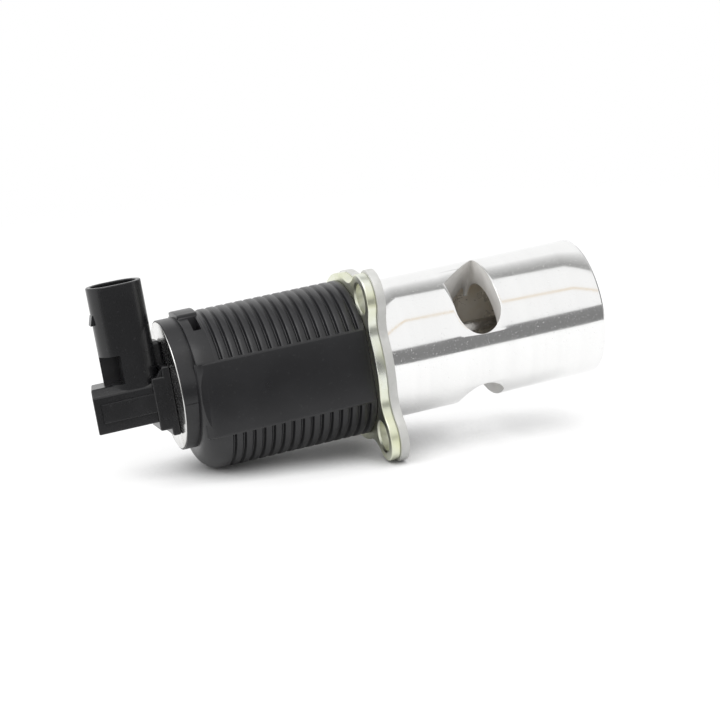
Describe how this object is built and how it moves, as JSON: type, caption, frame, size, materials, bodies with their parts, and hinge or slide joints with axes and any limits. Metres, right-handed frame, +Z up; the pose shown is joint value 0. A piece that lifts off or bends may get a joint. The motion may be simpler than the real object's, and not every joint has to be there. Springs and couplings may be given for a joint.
{
  "type": "exhaust gas recirculation valve",
  "caption": "Solenoid exhaust gas recirculation valve with a windowed aluminium cartridge, eared flange, ribbed black housing and a plug socket.",
  "frame": {"origin": "centre of the mounting face, on the valve axis", "axes": "+X along the cartridge to its gas inlet, +Z up along the plug socket, +Y away from the side with the two bolt ears"},
  "size_m": [0.1659, 0.0622, 0.0711],
  "materials": {
    "cast_aluminium": "turned and satin",
    "zinc_steel": "zinc plated with a yellow-green tint",
    "bright_steel": "rolled",
    "stainless": "ground",
    "spring_steel": "drawn wire",
    "sleeve_brass": "drawn",
    "sintered_bronze": "sintered",
    "coil_copper": "enamelled copper",
    "terminal_tin": "tinned",
    "housing_nylon": "satin moulded, glass filled",
    "cover_nylon": "satin moulded",
    "bobbin_nylon": "natural",
    "board_ceramic": "fired",
    "seal_rubber": "moulded"
  },
  "bodies": {
    "valve_unit": {"valve_body": "cast_aluminium", "flange_plate": "zinc_steel", "body_screws": "zinc_steel", "end_plate": "bright_steel", "yoke_case": "bright_steel", "yoke_cap": "bright_steel", "pole_piece": "bright_steel", "seat_ring": "stainless", "return_spring": "spring_steel", "sensor_spring": "spring_steel", "guide_sleeve": "sleeve_brass", "stem_guide": "sintered_bronze", "coil_winding": "coil_copper", "coil_leads": "coil_copper", "connector_terminals": "terminal_tin", "solenoid_housing": "housing_nylon", "sensor_cover": "cover_nylon", "coil_bobbin": "bobbin_nylon", "sensor_board": "board_ceramic", "body_seal": "seal_rubber", "cover_seal": "seal_rubber", "stem_seal": "seal_rubber"},
    "lifter": {"armature": "bright_steel", "valve_stem": "stainless", "valve_disc": "stainless", "spring_retainer": "bright_steel"},
    "sensor_slider": {"sensor_plunger": "stainless", "wiper_carriage": "bobbin_nylon"}
  },
  "joints": [
    {"name": "valve_lift", "type": "slide", "parent": "valve_unit", "child": "lifter", "axis": [1, 0, 0], "range_m": [0, 0.0055], "stiffness_N_per_m": 1500, "springref_m": -0.008, "deforming": ["return_spring"]},
    {"name": "sensor_follow", "type": "slide", "parent": "valve_unit", "child": "sensor_slider", "axis": [1, 0, 0], "range_m": [0, 0.0055], "deforming": ["sensor_spring"]}
  ],
  "couplings": [
    {"joint": "sensor_follow", "follows": "valve_lift", "ratio": 1}
  ]
}
